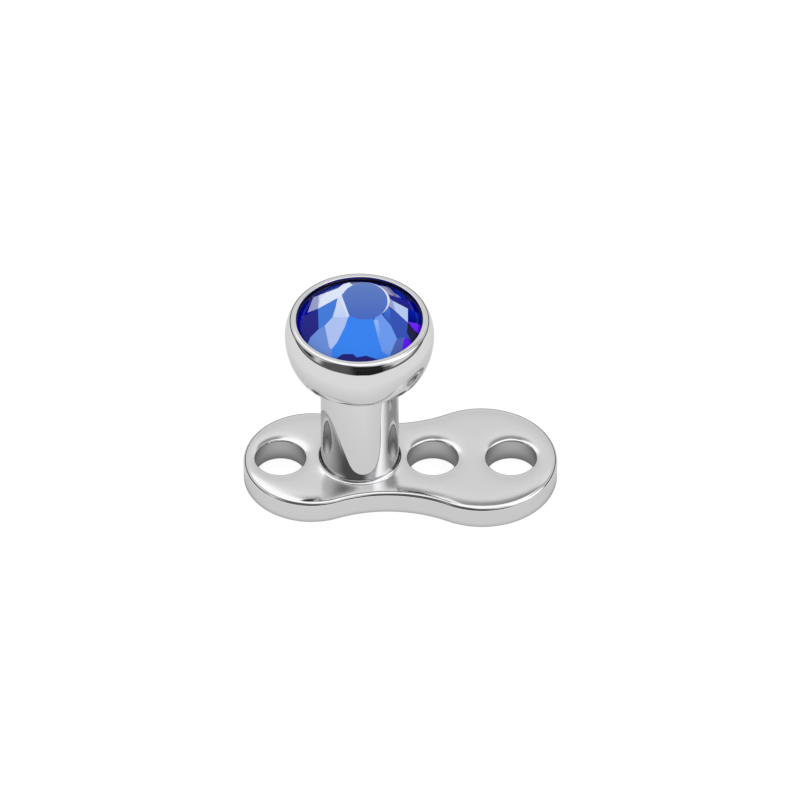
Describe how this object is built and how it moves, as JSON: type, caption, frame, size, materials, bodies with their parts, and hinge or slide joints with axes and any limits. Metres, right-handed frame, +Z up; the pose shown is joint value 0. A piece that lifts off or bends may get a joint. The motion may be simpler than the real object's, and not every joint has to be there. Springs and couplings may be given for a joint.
{
  "type": "dermal anchor",
  "caption": "Small polished body piercing anchor: a pierced waisted base plate with an upright post that carries a ball-shaped bezel cup and a faceted blue stone.",
  "frame": {"origin": "middle of the base plate's underside, which is the bottom centre of the part's box", "axes": "+Z up along the post, +X along the plate towards its larger end, +Y to the back"},
  "size_m": [0.0064, 0.003, 0.0048],
  "materials": {
    "polished_titanium": "mirror polished titanium",
    "polished_cup": "mirror polished titanium",
    "blue_stone": "faceted foil-backed crystal"
  },
  "bodies": {
    "root": {"anchor_base": "polished_titanium", "bezel_cup": "polished_cup", "stone": "blue_stone"}
  },
  "joints": []
}
